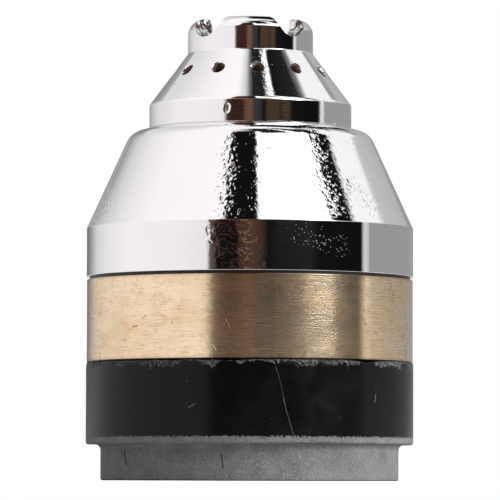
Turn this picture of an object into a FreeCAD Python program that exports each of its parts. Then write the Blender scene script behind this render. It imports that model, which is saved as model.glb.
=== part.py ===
import FreeCAD, Part
import math
import os
from types import SimpleNamespace

import Sketcher

# Shielded plasma torch nozzle, nose up, standing on the foot of its insulator.
# Millimetres. The axis is Z, the origin is the centre of the flat foot, the front is -Y.

# Driving sizes, in millimetres and degrees
SIZES = {
    # electrode, from its axis outwards
    "insert_radius": 1.0,
    "insert_length": 4.5,
    "insert_backing": 2.5,
    "coolant_bore_radius": 2.9,
    "electrode_wall": 2.0,
    "electrode_nose": 2.3,
    "electrode_thread_step": 1.0,
    "electrode_thread_depth": 9.0,
    "electrode_collar_step": 1.4,
    "electrode_collar_short": 0.2,
    "electrode_flange_step": 2.7,
    "electrode_flange_length": 4.0,
    "wrench_flat_depth": 1.2,
    "wrench_flat_height": 2.8,
    # swirl ring
    "swirl_gallery_gap": 2.7,
    "swirl_spigot_wall": 3.2,
    "swirl_step": 1.8,
    "swirl_length": 15.0,
    "swirl_pilot_length": 5.0,
    "swirl_hole_radius": 0.6,
    "swirl_hole_inset": 0.4,
    "swirl_hole_drop": 2.7,
    "swirl_hole_count": 8,
    # nozzle
    "plasma_gap": 1.1,
    "nozzle_wall": 2.2,
    "nozzle_shoulder": 0.55,
    "nozzle_mouth": 2.4,
    "nozzle_flange_length": 5.5,
    "nozzle_front_length": 6.8,
    "nozzle_orifice_radius": 1.1,
    "nozzle_orifice_length": 3.5,
    "nozzle_tip_wall": 2.1,
    "orifice_flare": 0.5,
    "arc_gap": 3.5,
    "tip_gap": 1.0,
    "swirl_seat_depth": 4.0,
    # shield gas distributor
    "distributor_skirt": 3.9,
    "distributor_skirt_gap": 0.3,
    "distributor_flange": 0.7,
    "distributor_collar": 4.1,
    "distributor_gallery_gap": 2.15,
    "distributor_hole_radius": 0.55,
    "distributor_hole_count": 12,
    "distributor_port_radius": 0.7,
    "distributor_port_inset": 2.6,
    "distributor_port_count": 8,
    # crown shield
    "shield_gas_gap": 2.4,
    "pilot_wall": 2.0,
    "pilot_land": 0.4,
    "shank_step": 0.4,
    "shank_length": 5.8,
    "shield_shoulder": 2.75,
    "shield_skirt": 3.73,
    "shield_rim_round": 2.0,
    "shield_seam": 0.15,
    "shield_half_angle": 36.7,
    "shield_wall": 2.6,
    "shield_floor": 2.0,
    "shield_orifice_radius": 2.4,
    "crown_recess_radius": 6.4,
    "crown_recess_depth": 4.4,
    "crown_wall": 3.35,
    "recess_edge": 0.4,
    "nose_height": 5.25,
    "nose_base_round": 0.7,
    "nose_corner": 2.2,
    "groove_radius": 3.0,
    "groove_axis_drop": 0.1,
    "groove_count": 4,
    "groove_turn": 37.5,
    "vent_radius": 1.0,
    "vent_rise": 5.07,
    "vent_count": 12,
    "vent_turn": -84.5,
    # brass body
    "swirl_gap": 1.0,
    "swirl_proud": 1.0,
    "lip_reach": 2.0,
    "lip_thickness": 2.5,
    "neck_wall": 1.6,
    "gas_hole_radius": 1.1,
    "gas_hole_inset": 0.3,
    "gas_hole_margin": 0.49,
    "gas_hole_count": 8,
    "sleeve_wall": 2.81,
    "sleeve_recess": 1.0,
    "socket_mouth": 0.8,
    "socket_land": 3.3,
    "socket_seal_proud": 0.3,
    "relief_depth": 0.9,
    "relief_width": 1.6,
    "band_height": 12.85,
    "band_inset": 0.05,
    "band_edge": 0.2,
    # black insulator sleeve
    "foot_wall": 2.1,
    "foot_height": 5.6,
    "foot_step": 2.3,
    "foot_corner": 0.7,
    "collar_height": 12.7,
    "collar_proud": 0.05,
    "collar_edge": 0.35,
    # chrome shell and the insulating bush under it
    "shell_rim_wall": 3.1,
    "shell_straight": 7.65,
    "shell_shoulder_width": 2.89,
    "shell_half_angle": 24.5,
    "shell_top_slope": 13.0,
    "shell_shoulder_round": 3.0,
    "shell_wall": 2.8,
    "shell_nose_overhang": 0.3,
    "shell_edge": 0.2,
    "bush_flange": 0.4,
    "bush_flange_inset": 0.45,
    "bush_wall": 2.15,
    "bush_short": 1.45,
    "bush_end_gap": 0.25,
    # seals
    "seal_groove": 1.6,
    "seal_depth": 1.1,
    "main_seal_groove": 2.0,
    "main_seal_depth": 1.4,
    "seal_land": 0.6,
    # fits
    "fit_gap": 0.05,
    "thread_gap": 0.1,
    "seal_gap": 0.02,
}


class Size:
    """A length or angle: its value now, and the expression that binds it to the sheet."""

    def __init__(self, value, text):
        self.value = value
        self.text = text

    def __add__(self, other):
        other = as_size(other)
        return Size(self.value + other.value, f"({self.text} + {other.text})")

    def __sub__(self, other):
        other = as_size(other)
        return Size(self.value - other.value, f"({self.text} - {other.text})")

    def __mul__(self, other):
        other = as_size(other)
        return Size(self.value * other.value, f"({self.text} * {other.text})")

    def __truediv__(self, other):
        other = as_size(other)
        return Size(self.value / other.value, f"({self.text} / {other.text})")


def as_size(number):
    if isinstance(number, Size):
        return number
    return Size(float(number), repr(float(number)))


def tangent(angle):
    return Size(math.tan(math.radians(angle.value)), f"tan({angle.text})")


def cosine(angle):
    return Size(math.cos(math.radians(angle.value)), f"cos({angle.text})")


def make_sheet(document):
    """Put the driving sizes in a spreadsheet and give each one back as a Size."""
    sheet = document.addObject("Spreadsheet::Sheet", "Sizes")
    for row, (alias, value) in enumerate(SIZES.items(), start=1):
        sheet.set(f"A{row}", str(value))
        sheet.setAlias(f"A{row}", alias)
    document.recompute()
    return SimpleNamespace(**{alias: Size(float(value), f"Sizes.{alias}") for alias, value in SIZES.items()})


doc = FreeCAD.newDocument("plasma_torch_nozzle")
s = make_sheet(doc)
ZERO = as_size(0)

# Radii, built outwards from the electrode to the outside of the head
ELECTRODE_RADIUS = s.coolant_bore_radius + s.electrode_wall
ELECTRODE_COLLAR = ELECTRODE_RADIUS + s.electrode_collar_step
PILOT_SEAT = ELECTRODE_COLLAR + s.fit_gap
SWIRL_GALLERY = ELECTRODE_RADIUS + s.swirl_gallery_gap
SWIRL_SPIGOT = SWIRL_GALLERY + s.swirl_spigot_wall
SWIRL_SEAT_BORE = SWIRL_SPIGOT + s.thread_gap
SWIRL_RADIUS = SWIRL_SPIGOT + s.swirl_step
STACK_BORE = SWIRL_RADIUS + s.swirl_gap
NOZZLE_BORE = ELECTRODE_RADIUS + s.plasma_gap
NOZZLE_FRONT = NOZZLE_BORE + s.nozzle_wall
NOZZLE_WAIST = NOZZLE_FRONT + s.nozzle_shoulder
NOZZLE_FLANGE = STACK_BORE - s.thread_gap
LIP_OPENING = STACK_BORE - s.lip_reach
SHANK_BORE = NOZZLE_FRONT + s.shield_gas_gap
PILOT_RADIUS = SHANK_BORE + s.pilot_wall
PILOT_BORE = PILOT_RADIUS + s.thread_gap
SHANK_RADIUS = PILOT_RADIUS + s.shank_step
SHIELD_RADIUS = SHANK_RADIUS + s.shield_shoulder
NECK_RADIUS = STACK_BORE + s.neck_wall
GAS_HOLE_CIRCLE = NECK_RADIUS + s.gas_hole_inset + s.gas_hole_radius
SOCKET_RADIUS = GAS_HOLE_CIRCLE + s.gas_hole_radius + s.gas_hole_margin
SOCKET_SEAL_RADIUS = SOCKET_RADIUS + s.main_seal_depth - s.socket_seal_proud
SLEEVE_RADIUS = SOCKET_RADIUS + s.sleeve_wall
FOOT_RADIUS = SLEEVE_RADIUS + s.fit_gap + s.foot_wall
COLLAR_RADIUS = FOOT_RADIUS + s.foot_step
SHELL_RADIUS = COLLAR_RADIUS - s.collar_proud
BAND_RADIUS = SHELL_RADIUS - s.band_inset
SHELL_BORE = SHELL_RADIUS - s.shell_rim_wall
BUSH_RADIUS = SHELL_BORE - s.thread_gap
BUSH_BORE = BUSH_RADIUS - s.bush_wall
SPIGOT_RADIUS = BUSH_BORE - s.fit_gap

# Heights above the foot at which the outer pieces meet
BAND_BOTTOM = s.foot_height + s.collar_height
BAND_TOP = BAND_BOTTOM + s.band_height
SHELL_BOTTOM = BAND_TOP + s.bush_flange
BUSH_LENGTH = s.bush_flange + s.shell_straight - s.bush_short
SHELL_SLOPE = tangent(s.shell_half_angle)
SHOULDER_RADIUS = SHIELD_RADIUS + s.shell_shoulder_width
SHOULDER_HEIGHT = s.shell_straight + (SHELL_RADIUS - SHOULDER_RADIUS) / SHELL_SLOPE
SHELL_HEIGHT = SHOULDER_HEIGHT + s.shell_shoulder_width * tangent(s.shell_top_slope)
SHELL_TOP = SHELL_BOTTOM + SHELL_HEIGHT
SHANK_END = SHELL_TOP - s.shank_length

# Heights of the shield's forms above the end of its shank
PILOT_LENGTH = s.seal_land + s.seal_groove + s.pilot_land
SHIELD_SLOPE = tangent(s.shield_half_angle)
CONE_BOTTOM = s.shank_length + s.shield_skirt
NOSE_RADIUS = s.crown_recess_radius + s.crown_wall
CONE_TOP = CONE_BOTTOM + (SHIELD_RADIUS - NOSE_RADIUS) / SHIELD_SLOPE
NOSE_TOP = CONE_TOP + s.nose_height
RECESS_FLOOR = NOSE_TOP - s.crown_recess_depth
CAVITY_TOP = RECESS_FLOOR - s.shield_floor

# Heights of the stack inside, which hangs down from the shield
NOZZLE_TIP = SHANK_END + CAVITY_TOP - s.tip_gap
NOZZLE_SHOULDER = SHANK_END - s.distributor_flange
DISTRIBUTOR_BOTTOM = NOZZLE_SHOULDER - s.distributor_skirt
LIP_TOP = DISTRIBUTOR_BOTTOM - s.distributor_skirt_gap
NOZZLE_REAR = LIP_TOP - s.lip_thickness - s.nozzle_flange_length
SWIRL_REAR = NOZZLE_REAR + s.swirl_seat_depth - s.swirl_length
ELECTRODE_REAR = SWIRL_REAR - s.electrode_flange_length
ELECTRODE_TIP = NOZZLE_TIP - s.nozzle_orifice_length - s.arc_gap
ELECTRODE_LENGTH = ELECTRODE_TIP - ELECTRODE_REAR
ELECTRODE_COLLAR_LENGTH = s.swirl_pilot_length - s.electrode_collar_short
SOCKET_DEPTH = SWIRL_REAR - s.swirl_proud - s.sleeve_recess

# How far a cut runs on past the surface that it leaves
OVERSHOOT = as_size(0.5)


def new_body(label, height):
    body = doc.addObject("PartDesign::Body", label)
    body.Label = label
    body.setExpression("Placement.Base.z", height.text)
    return body


def origin_feature(body, role):
    return next(feature for feature in body.Origin.OriginFeatures if feature.Role == role)


def new_sketch(body, role, name):
    sketch = body.newObject("Sketcher::SketchObject", name)
    sketch.AttachmentSupport = (origin_feature(body, role), [""])
    sketch.MapMode = "FlatFace"
    return sketch


def pin_point(sketch, geometry, point, x, y):
    """Hold one point of the sketch at x, y from its origin."""
    for axis, line, size in (("DistanceX", -2, x), ("DistanceY", -1, y)):
        if size is ZERO:
            sketch.addConstraint(Sketcher.Constraint("PointOnObject", geometry, point, line))
            continue
        index = sketch.addConstraint(Sketcher.Constraint(axis, -1, 1, geometry, point, size.value))
        sketch.setExpression(f"Constraints[{index}]", size.text)


def turned(body, name, outline):
    """Turn a closed outline of (radius, height) corners about the body's axis."""
    sketch = new_sketch(body, "XZ_Plane", f"{name}_outline")
    corners = [FreeCAD.Vector(radius.value, height.value, 0) for radius, height in outline]
    count = len(corners)
    for index in range(count):
        following = corners[(index + 1) % count]
        sketch.addGeometry(Part.LineSegment(corners[index], following), False)
    for index, (radius, height) in enumerate(outline):
        sketch.addConstraint(Sketcher.Constraint("Coincident", index, 2, (index + 1) % count, 1))
        pin_point(sketch, index, 1, radius, height)
    revolution = body.newObject("PartDesign::Revolution", f"{name}_turned")
    revolution.Profile = sketch
    revolution.ReferenceAxis = (sketch, ["V_Axis"])
    revolution.Angle = 360
    sketch.Visibility = False
    body.Tip = revolution
    doc.recompute()
    return revolution


def circle_sketch(body, role, name, x, y, radius):
    sketch = new_sketch(body, role, name)
    centre = FreeCAD.Vector(x.value, y.value, 0)
    sketch.addGeometry(Part.Circle(centre, FreeCAD.Vector(0, 0, 1), radius.value), False)
    pin_point(sketch, 0, 3, x, y)
    index = sketch.addConstraint(Sketcher.Constraint("Radius", 0, radius.value))
    sketch.setExpression(f"Constraints[{index}]", radius.text)
    return sketch


def pocket(body, name, sketch, depth, forward=True):
    """Cut a sketch along its normal, or against it, and make sure that it takes material away."""
    before = body.Shape.Volume
    cut = body.newObject("PartDesign::Pocket", name)
    cut.Profile = sketch
    cut.Reversed = forward
    cut.setExpression("Length", depth.text)
    sketch.Visibility = False
    body.Tip = cut
    doc.recompute()
    if body.Shape.Volume >= before:
        raise RuntimeError(f"{name} cuts nothing")
    return cut


def repeated(body, name, feature, count):
    """Repeat a cut evenly about the body's axis."""
    pattern = body.newObject("PartDesign::PolarPattern", name)
    pattern.Originals = [feature]
    pattern.Axis = (origin_feature(body, "Z_Axis"), [""])
    pattern.Angle = 360
    pattern.setExpression("Occurrences", count.text)
    body.Tip = pattern
    doc.recompute()
    return pattern


def ring_edges(feature, radius, height):
    """Names of the circular edges of this radius at this height."""
    tolerance = 1e-4
    names = []
    for index, edge in enumerate(feature.Shape.Edges, start=1):
        if not isinstance(edge.Curve, Part.Circle):
            continue
        same_radius = abs(edge.Curve.Radius - radius.value) < tolerance
        if same_radius and abs(edge.Curve.Center.z - height.value) < tolerance:
            names.append(f"Edge{index}")
    return names


def eased(body, name, kind, size, rings):
    """Fillet or chamfer the edges at the given (radius, height) rings."""
    base = body.Tip
    edges = [edge for radius, height in rings for edge in ring_edges(base, radius, height)]
    if len(edges) < len(rings):
        raise RuntimeError(f"{name} misses an edge")
    feature = body.newObject(f"PartDesign::{kind}", name)
    feature.Base = (base, edges)
    feature.setExpression("Radius" if kind == "Fillet" else "Size", size.text)
    base.Visibility = False
    body.Tip = feature
    doc.recompute()
    return feature


def make_insulator_sleeve():
    """Moulded sleeve with a narrower foot, pressed over the brass body's rear sleeve."""
    body = new_body("insulator_sleeve", ZERO)
    bore = SLEEVE_RADIUS + s.fit_gap
    top = s.foot_height + s.collar_height
    turned(body, "sleeve", [
        (bore, ZERO),
        (FOOT_RADIUS, ZERO),
        (FOOT_RADIUS, s.foot_height),
        (COLLAR_RADIUS, s.foot_height),
        (COLLAR_RADIUS, top),
        (bore, top),
    ])
    eased(body, "foot_corner_round", "Fillet", s.foot_corner, [(FOOT_RADIUS, s.foot_height)])
    eased(body, "collar_edge_round", "Fillet", s.collar_edge, [
        (COLLAR_RADIUS, s.foot_height),
        (COLLAR_RADIUS, top),
        (FOOT_RADIUS, ZERO),
    ])
    return body


def make_brass_body():
    """Band, threaded spigot for the bush, neck with a seating lip, and the torch socket."""
    rear = s.sleeve_recess
    body = new_body("brass_body", rear)
    band_bottom = BAND_BOTTOM - rear
    band_top = band_bottom + s.band_height
    shoulder = band_top + BUSH_LENGTH + s.bush_end_gap
    top = LIP_TOP - rear
    lip_bottom = top - s.lip_thickness
    groove_bottom = band_top + s.seal_land
    groove_top = groove_bottom + s.seal_groove
    groove_floor = BUSH_BORE - s.seal_depth
    seal_top = SOCKET_DEPTH - s.seal_land
    seal_bottom = seal_top - s.main_seal_groove
    relief_top = seal_bottom - s.socket_land
    relief_bottom = relief_top - s.relief_width
    turned(body, "brass", [
        (SOCKET_RADIUS, ZERO),
        (SLEEVE_RADIUS, ZERO),
        (SLEEVE_RADIUS, band_bottom),
        (BAND_RADIUS, band_bottom),
        (BAND_RADIUS, band_top),
        (SPIGOT_RADIUS, band_top),
        (SPIGOT_RADIUS, groove_bottom),
        (groove_floor, groove_bottom),
        (groove_floor, groove_top),
        (SPIGOT_RADIUS, groove_top),
        (SPIGOT_RADIUS, shoulder),
        (NECK_RADIUS, shoulder),
        (NECK_RADIUS, top),
        (LIP_OPENING, top),
        (LIP_OPENING, lip_bottom),
        (STACK_BORE, lip_bottom),
        (STACK_BORE, SOCKET_DEPTH),
        (SOCKET_RADIUS, SOCKET_DEPTH),
        (SOCKET_RADIUS, seal_top),
        (SOCKET_SEAL_RADIUS, seal_top),
        (SOCKET_SEAL_RADIUS, seal_bottom),
        (SOCKET_RADIUS, seal_bottom),
        (SOCKET_RADIUS, relief_top),
        (SOCKET_RADIUS + s.relief_depth, relief_top),
        (SOCKET_RADIUS + s.relief_depth, relief_bottom),
        (SOCKET_RADIUS, relief_bottom),
    ])
    eased(body, "band_edge_round", "Fillet", s.band_edge, [
        (BAND_RADIUS, band_bottom),
        (BAND_RADIUS, band_top),
    ])
    eased(body, "socket_mouth_chamfer", "Chamfer", s.socket_mouth, [(SOCKET_RADIUS, ZERO)])
    hole = circle_sketch(body, "XY_Plane", "gas_hole_circle", GAS_HOLE_CIRCLE, ZERO, s.gas_hole_radius)
    hole.setExpression("AttachmentOffset.Base.z", SOCKET_DEPTH.text)
    drilled = pocket(body, "gas_hole", hole, shoulder - SOCKET_DEPTH + OVERSHOOT)
    repeated(body, "gas_holes", drilled, s.gas_hole_count)
    return body


def make_insulating_bush():
    """Threaded insulating bush; its thin flange keeps the chrome clear of the brass."""
    body = new_body("insulating_bush", BAND_TOP)
    flange_radius = SHELL_RADIUS - s.bush_flange_inset
    groove_bottom = s.bush_flange + s.seal_land
    groove_top = groove_bottom + s.seal_groove
    groove_floor = SHELL_BORE - s.seal_depth
    turned(body, "bush", [
        (BUSH_BORE, ZERO),
        (flange_radius, ZERO),
        (flange_radius, s.bush_flange),
        (BUSH_RADIUS, s.bush_flange),
        (BUSH_RADIUS, groove_bottom),
        (groove_floor, groove_bottom),
        (groove_floor, groove_top),
        (BUSH_RADIUS, groove_top),
        (BUSH_RADIUS, BUSH_LENGTH),
        (BUSH_BORE, BUSH_LENGTH),
    ])
    return body


def make_cap_shell():
    """Conical shell of even wall, with a thick nose bored and threaded for the shield."""
    body = new_body("cap_shell", SHELL_BOTTOM)
    straight = s.shell_straight
    wall_across = s.shell_wall / cosine(s.shell_half_angle)
    inner_cone_bottom = straight + (SHELL_RADIUS - wall_across - SHELL_BORE) / SHELL_SLOPE
    ledge = SHELL_HEIGHT - s.shank_length - s.shell_nose_overhang
    ledge_radius = SHELL_BORE - (ledge - inner_cone_bottom) * SHELL_SLOPE
    thread_radius = SHANK_RADIUS + s.thread_gap
    thread_bottom = SHELL_HEIGHT - s.shank_length + PILOT_LENGTH - s.thread_gap
    turned(body, "shell", [
        (SHELL_BORE, ZERO),
        (SHELL_RADIUS, ZERO),
        (SHELL_RADIUS, straight),
        (SHOULDER_RADIUS, SHOULDER_HEIGHT),
        (SHIELD_RADIUS, SHELL_HEIGHT),
        (thread_radius, SHELL_HEIGHT),
        (thread_radius, thread_bottom),
        (PILOT_BORE, thread_bottom),
        (PILOT_BORE, ledge),
        (ledge_radius, ledge),
        (SHELL_BORE, inner_cone_bottom),
    ])
    eased(body, "shoulder_round", "Fillet", s.shell_shoulder_round, [(SHOULDER_RADIUS, SHOULDER_HEIGHT)])
    eased(body, "shell_edge_round", "Fillet", s.shell_edge, [
        (SHELL_RADIUS, ZERO),
        (SHELL_RADIUS, straight),
    ])
    return body


def make_crown_shield():
    """Shield with a vented cone and a crown of radial grooves round its recessed orifice."""
    body = new_body("crown_shield", SHANK_END)
    body.Placement.Rotation = FreeCAD.Rotation(FreeCAD.Vector(0, 0, 1), s.vent_turn.value)
    body.setExpression("Placement.Rotation.Angle", s.vent_turn.text)
    wall_across = s.shield_wall / cosine(s.shield_half_angle)
    cavity_radius = SHIELD_RADIUS - wall_across - (CAVITY_TOP - CONE_BOTTOM) * SHIELD_SLOPE
    bore_top = CONE_BOTTOM + (SHIELD_RADIUS - wall_across - SHANK_BORE) / SHIELD_SLOPE
    groove_bottom = s.seal_land
    groove_top = groove_bottom + s.seal_groove
    groove_floor = PILOT_BORE - s.seal_depth
    turned(body, "shield", [
        (SHANK_BORE, ZERO),
        (PILOT_RADIUS, ZERO),
        (PILOT_RADIUS, groove_bottom),
        (groove_floor, groove_bottom),
        (groove_floor, groove_top),
        (PILOT_RADIUS, groove_top),
        (PILOT_RADIUS, PILOT_LENGTH),
        (SHANK_RADIUS, PILOT_LENGTH),
        (SHANK_RADIUS, s.shank_length),
        (SHIELD_RADIUS, s.shank_length),
        (SHIELD_RADIUS, CONE_BOTTOM),
        (NOSE_RADIUS, CONE_TOP),
        (NOSE_RADIUS, NOSE_TOP),
        (s.crown_recess_radius, NOSE_TOP),
        (s.crown_recess_radius, RECESS_FLOOR),
        (s.shield_orifice_radius, RECESS_FLOOR),
        (s.shield_orifice_radius, CAVITY_TOP),
        (cavity_radius, CAVITY_TOP),
        (SHANK_BORE, bore_top),
    ])
    eased(body, "rim_round", "Fillet", s.shield_rim_round, [(SHIELD_RADIUS, CONE_BOTTOM)])
    eased(body, "nose_base_fillet", "Fillet", s.nose_base_round, [(NOSE_RADIUS, CONE_TOP)])
    eased(body, "nose_round", "Fillet", s.nose_corner, [(NOSE_RADIUS, NOSE_TOP)])
    eased(body, "recess_edge_round", "Fillet", s.recess_edge, [
        (s.crown_recess_radius, NOSE_TOP),
        (s.shield_orifice_radius, RECESS_FLOOR),
    ])
    eased(body, "seam_chamfer", "Chamfer", s.shield_seam, [(SHIELD_RADIUS, s.shank_length)])
    groove = circle_sketch(body, "YZ_Plane", "groove_circle", ZERO,
                           NOSE_TOP - s.groove_axis_drop, s.groove_radius)
    groove.AttachmentOffset = FreeCAD.Placement(
        FreeCAD.Vector(), FreeCAD.Rotation(FreeCAD.Vector(0, 1, 0), s.groove_turn.value))
    groove.setExpression("AttachmentOffset.Rotation.Angle", s.groove_turn.text)
    milled = pocket(body, "crown_groove", groove, NOSE_RADIUS + OVERSHOOT)
    repeated(body, "crown_grooves", milled, s.groove_count)
    # Each vent is drilled square to the cone, from its surface into the cavity
    vent_height = CONE_BOTTOM + s.vent_rise
    vent_position = SHIELD_RADIUS - s.vent_rise * SHIELD_SLOPE
    vent = circle_sketch(body, "XY_Plane", "vent_circle", ZERO, ZERO, s.vent_radius)
    vent.AttachmentOffset = FreeCAD.Placement(
        FreeCAD.Vector(), FreeCAD.Rotation(FreeCAD.Vector(0, 1, 0), 90 - s.shield_half_angle.value))
    vent.setExpression("AttachmentOffset.Base.x", vent_position.text)
    vent.setExpression("AttachmentOffset.Base.z", vent_height.text)
    vent.setExpression("AttachmentOffset.Rotation.Angle", (as_size(90) - s.shield_half_angle).text)
    drilled = pocket(body, "vent", vent, s.shield_wall + s.vent_radius, forward=False)
    repeated(body, "vents", drilled, s.vent_count)
    return body


def make_nozzle():
    """Copper nozzle: sealed flange, slim waist, and a cone down to the arc orifice."""
    body = new_body("nozzle", NOZZLE_REAR)
    lip_clear = s.nozzle_flange_length + s.lip_thickness - s.thread_gap
    shoulder = NOZZLE_SHOULDER - NOZZLE_REAR
    front_top = shoulder + s.nozzle_front_length
    tip = NOZZLE_TIP - NOZZLE_REAR
    tip_radius = s.nozzle_orifice_radius + s.nozzle_tip_wall
    groove_bottom = (s.nozzle_flange_length - s.main_seal_groove) / 2
    groove_top = groove_bottom + s.main_seal_groove
    groove_floor = STACK_BORE - s.main_seal_depth
    orifice_bottom = tip - s.nozzle_orifice_length
    mouth_top = s.swirl_seat_depth + s.nozzle_mouth
    turned(body, "nozzle", [
        (SWIRL_SEAT_BORE, ZERO),
        (NOZZLE_FLANGE, ZERO),
        (NOZZLE_FLANGE, groove_bottom),
        (groove_floor, groove_bottom),
        (groove_floor, groove_top),
        (NOZZLE_FLANGE, groove_top),
        (NOZZLE_FLANGE, s.nozzle_flange_length),
        (LIP_OPENING - s.thread_gap, s.nozzle_flange_length),
        (LIP_OPENING - s.thread_gap, lip_clear),
        (NOZZLE_WAIST, lip_clear),
        (NOZZLE_WAIST, shoulder),
        (NOZZLE_FRONT, shoulder),
        (NOZZLE_FRONT, front_top),
        (tip_radius, tip),
        (s.nozzle_orifice_radius + s.orifice_flare, tip),
        (s.nozzle_orifice_radius, tip - s.orifice_flare),
        (s.nozzle_orifice_radius, orifice_bottom),
        (NOZZLE_BORE, front_top),
        (NOZZLE_BORE, mouth_top),
        (NOZZLE_BORE + s.nozzle_mouth, s.swirl_seat_depth),
        (SWIRL_SEAT_BORE, s.swirl_seat_depth),
    ])
    return body


def make_swirl_ring():
    """Insulating ring that centres the electrode and spins the plasma gas."""
    body = new_body("swirl_ring", SWIRL_REAR)
    shoulder = s.swirl_length - s.swirl_seat_depth - s.thread_gap
    groove_bottom = shoulder + s.thread_gap + s.seal_land
    groove_top = groove_bottom + s.seal_groove
    groove_floor = SWIRL_SEAT_BORE - s.seal_depth
    turned(body, "ring", [
        (PILOT_SEAT, ZERO),
        (SWIRL_RADIUS, ZERO),
        (SWIRL_RADIUS, shoulder),
        (SWIRL_SPIGOT, shoulder),
        (SWIRL_SPIGOT, groove_bottom),
        (groove_floor, groove_bottom),
        (groove_floor, groove_top),
        (SWIRL_SPIGOT, groove_top),
        (SWIRL_SPIGOT, s.swirl_length),
        (SWIRL_GALLERY, s.swirl_length),
        (SWIRL_GALLERY, s.swirl_pilot_length),
        (PILOT_SEAT, s.swirl_pilot_length),
    ])
    # Each hole runs off the axis, along the gallery's wall
    offset = SWIRL_GALLERY - s.swirl_hole_inset - s.swirl_hole_radius
    height = shoulder - s.swirl_hole_drop
    hole = circle_sketch(body, "YZ_Plane", "swirl_hole_circle", offset, height, s.swirl_hole_radius)
    drilled = pocket(body, "swirl_hole", hole, SWIRL_RADIUS + OVERSHOOT)
    repeated(body, "swirl_holes", drilled, s.swirl_hole_count)
    return body


def make_electrode():
    """Copper electrode: flange with wrench flats, sealed collar, slim shank, hollow behind."""
    body = new_body("electrode", ELECTRODE_REAR)
    thread_radius = s.coolant_bore_radius + s.electrode_thread_step
    flange_radius = ELECTRODE_COLLAR + s.electrode_flange_step
    collar_top = s.electrode_flange_length + ELECTRODE_COLLAR_LENGTH
    groove_bottom = s.electrode_flange_length + (ELECTRODE_COLLAR_LENGTH - s.seal_groove) / 2
    groove_top = groove_bottom + s.seal_groove
    groove_floor = PILOT_SEAT - s.seal_depth
    nose_bottom = ELECTRODE_LENGTH - s.electrode_nose
    tip_radius = ELECTRODE_RADIUS - s.electrode_nose
    insert_bottom = ELECTRODE_LENGTH - s.insert_length
    coolant_bore_depth = insert_bottom - s.insert_backing
    turned(body, "electrode", [
        (thread_radius, ZERO),
        (flange_radius, ZERO),
        (flange_radius, s.electrode_flange_length),
        (ELECTRODE_COLLAR, s.electrode_flange_length),
        (ELECTRODE_COLLAR, groove_bottom),
        (groove_floor, groove_bottom),
        (groove_floor, groove_top),
        (ELECTRODE_COLLAR, groove_top),
        (ELECTRODE_COLLAR, collar_top),
        (ELECTRODE_RADIUS, collar_top),
        (ELECTRODE_RADIUS, nose_bottom),
        (tip_radius, ELECTRODE_LENGTH),
        (s.insert_radius, ELECTRODE_LENGTH),
        (s.insert_radius, insert_bottom),
        (ZERO, insert_bottom),
        (ZERO, coolant_bore_depth),
        (s.coolant_bore_radius, coolant_bore_depth),
        (s.coolant_bore_radius, s.electrode_thread_depth),
        (thread_radius, s.electrode_thread_depth),
    ])
    flat = new_sketch(body, "XY_Plane", "flat_outline")
    inner = flange_radius - s.wrench_flat_depth
    outer = flange_radius + OVERSHOOT
    corners = [(inner, -1), (outer, -1), (outer, 1), (inner, 1)]
    points = [FreeCAD.Vector(x.value, side * flange_radius.value, 0) for x, side in corners]
    for index in range(4):
        flat.addGeometry(Part.LineSegment(points[index], points[(index + 1) % 4]), False)
    for index in range(4):
        flat.addConstraint(Sketcher.Constraint("Coincident", index, 2, (index + 1) % 4, 1))
    for index, kind in enumerate(("Horizontal", "Vertical", "Horizontal")):
        flat.addConstraint(Sketcher.Constraint(kind, index))
    flat.addConstraint(Sketcher.Constraint("Symmetric", 0, 1, 3, 1, -1))
    pin_point(flat, 2, 1, outer, flange_radius)
    index = flat.addConstraint(Sketcher.Constraint("DistanceX", -1, 1, 3, 1, inner.value))
    flat.setExpression(f"Constraints[{index}]", inner.text)
    milled = pocket(body, "wrench_flat", flat, s.wrench_flat_height)
    repeated(body, "wrench_flats", milled, as_size(6))
    return body


def make_electrode_insert():
    """Emitter pin pressed into the electrode's tip."""
    body = new_body("electrode_insert", ELECTRODE_TIP - s.insert_length)
    turned(body, "insert", [
        (ZERO, ZERO),
        (s.insert_radius, ZERO),
        (s.insert_radius, s.insert_length),
        (ZERO, s.insert_length),
    ])
    return body


def make_gas_distributor():
    """Insulating ring that feeds shield gas from the shell into the shield."""
    body = new_body("gas_distributor", DISTRIBUTOR_BOTTOM)
    flange_top = s.distributor_skirt + s.distributor_flange
    collar_top = flange_top + s.distributor_collar
    bore = NOZZLE_FRONT + s.fit_gap
    collar_radius = SHANK_BORE - s.thread_gap
    flange_radius = PILOT_RADIUS - s.thread_gap
    gallery = NOZZLE_WAIST + s.distributor_gallery_gap
    turned(body, "distributor", [
        (gallery, ZERO),
        (flange_radius, ZERO),
        (flange_radius, flange_top),
        (collar_radius, flange_top),
        (collar_radius, collar_top),
        (bore, collar_top),
        (bore, s.distributor_skirt),
        (gallery, s.distributor_skirt),
    ])
    hole = circle_sketch(body, "XY_Plane", "distributor_hole_circle",
                         (bore + collar_radius) / 2, ZERO, s.distributor_hole_radius)
    drilled = pocket(body, "distributor_hole", hole, collar_top + OVERSHOOT)
    repeated(body, "distributor_holes", drilled, s.distributor_hole_count)
    offset = gallery - s.distributor_port_inset - s.distributor_port_radius
    port = circle_sketch(body, "YZ_Plane", "port_circle", offset,
                         s.distributor_skirt / 2, s.distributor_port_radius)
    bored = pocket(body, "port", port, flange_radius + OVERSHOOT)
    repeated(body, "ports", bored, s.distributor_port_count)
    return body


def make_seal(label, inner, outer, height):
    """O-ring lying between two radii, clear of both by the seal gap."""
    ring = doc.addObject("Part::Torus", label)
    ring.Label = label
    ring.setExpression("Radius1", ((inner + outer) / 2).text)
    ring.setExpression("Radius2", ((outer - inner) / 2 - s.seal_gap).text)
    ring.setExpression("Placement.Base.z", height.text)
    doc.recompute()
    return ring


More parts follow.
